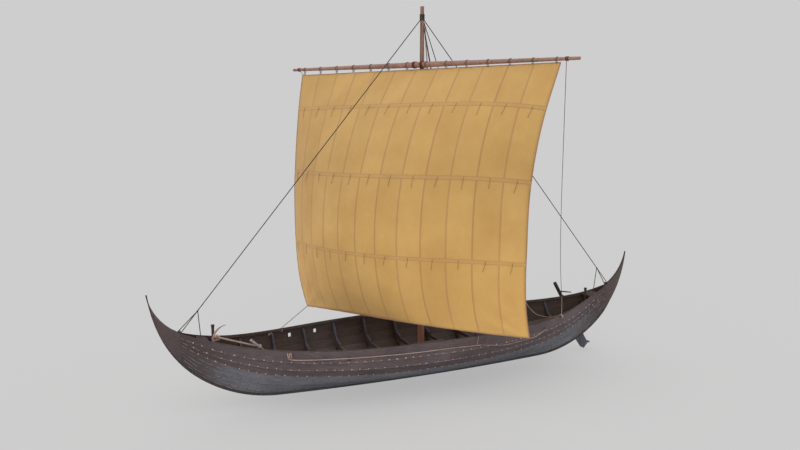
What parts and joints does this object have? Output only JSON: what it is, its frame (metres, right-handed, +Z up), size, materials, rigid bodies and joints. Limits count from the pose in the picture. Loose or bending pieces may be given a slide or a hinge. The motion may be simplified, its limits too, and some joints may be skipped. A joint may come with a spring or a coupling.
{
  "type": "clinker-built sailing longship",
  "caption": "Open clinker-planked wooden ship with curved stems, one mast, a braced square sail, side rudder, stays and shrouds.",
  "frame": {"origin": "amidships on the centre plane at the waterline", "axes": "+X towards the stern, +Y to starboard, +Z up"},
  "size_m": [13.998, 7.6431, 10.0033],
  "materials": {
    "hull_low": "tarred blue-grey planks, matt",
    "hull_top": "weathered dark brown-grey planks, matt",
    "hull_end": "carved brown oak, matt",
    "inner_wood": "dark tarred oak, matt",
    "deck_wood": "worn dark deck boards, matt",
    "mast_wood": "reddish brown pine, satin",
    "dark_wood": "dark weathered oak, matt",
    "grey_wood": "pale grey weathered wood, matt",
    "dark_rope": "tarred laid rope, matt",
    "anchor_rope": "tan laid rope, matt",
    "sailcloth": "ochre woven sailcloth, matt"
  },
  "bodies": {
    "hull": {"keel": "hull_low", "bow_stem": "hull_end", "stern_stem": "hull_end", "strake_1": "hull_low", "strake_2": "hull_low", "strake_3": "hull_low", "strake_4": "hull_low", "strake_5": "hull_low", "strake_6": "hull_top", "strake_7": "hull_top", "strake_8": "hull_top", "floor_timbers": "inner_wood", "crossbeams": "inner_wood", "end_beams": "inner_wood", "knees": "inner_wood", "gunwale_rails": "hull_top", "breasthooks": "inner_wood", "keelson": "inner_wood", "mast_partner": "inner_wood", "fore_deck": "deck_wood", "aft_deck": "deck_wood", "mast": "mast_wood", "masthead_band": "dark_rope", "shroud_cleats": "inner_wood", "shrouds": "dark_rope", "forestay": "dark_rope", "forestay_bridle": "dark_rope", "backstay": "dark_rope", "backstay_bridle": "dark_rope", "bow_post": "dark_wood", "stern_post": "dark_wood", "rudder_strap": "dark_wood", "rudder_boss": "dark_wood", "anchor": "anchor_rope", "anchor_stock": "grey_wood"},
    "yard": {"yard": "mast_wood", "parrel": "dark_wood", "sail": "sailcloth", "robands": "dark_rope"},
    "rudder": {"rudder": "dark_wood", "tiller": "dark_wood"}
  },
  "joints": [
    {"name": "yard_brace", "type": "hinge", "parent": "hull", "child": "yard", "pos_m": [0.094, 0, 7.54], "axis": [0, 0, 1], "range_deg": [-70, 10]},
    {"name": "rudder_turn", "type": "hinge", "parent": "hull", "child": "rudder", "pos_m": [5.15, 0.6, 0.75], "axis": [-0.506, 0, 0.8625], "range_deg": [-30, 30]}
  ]
}
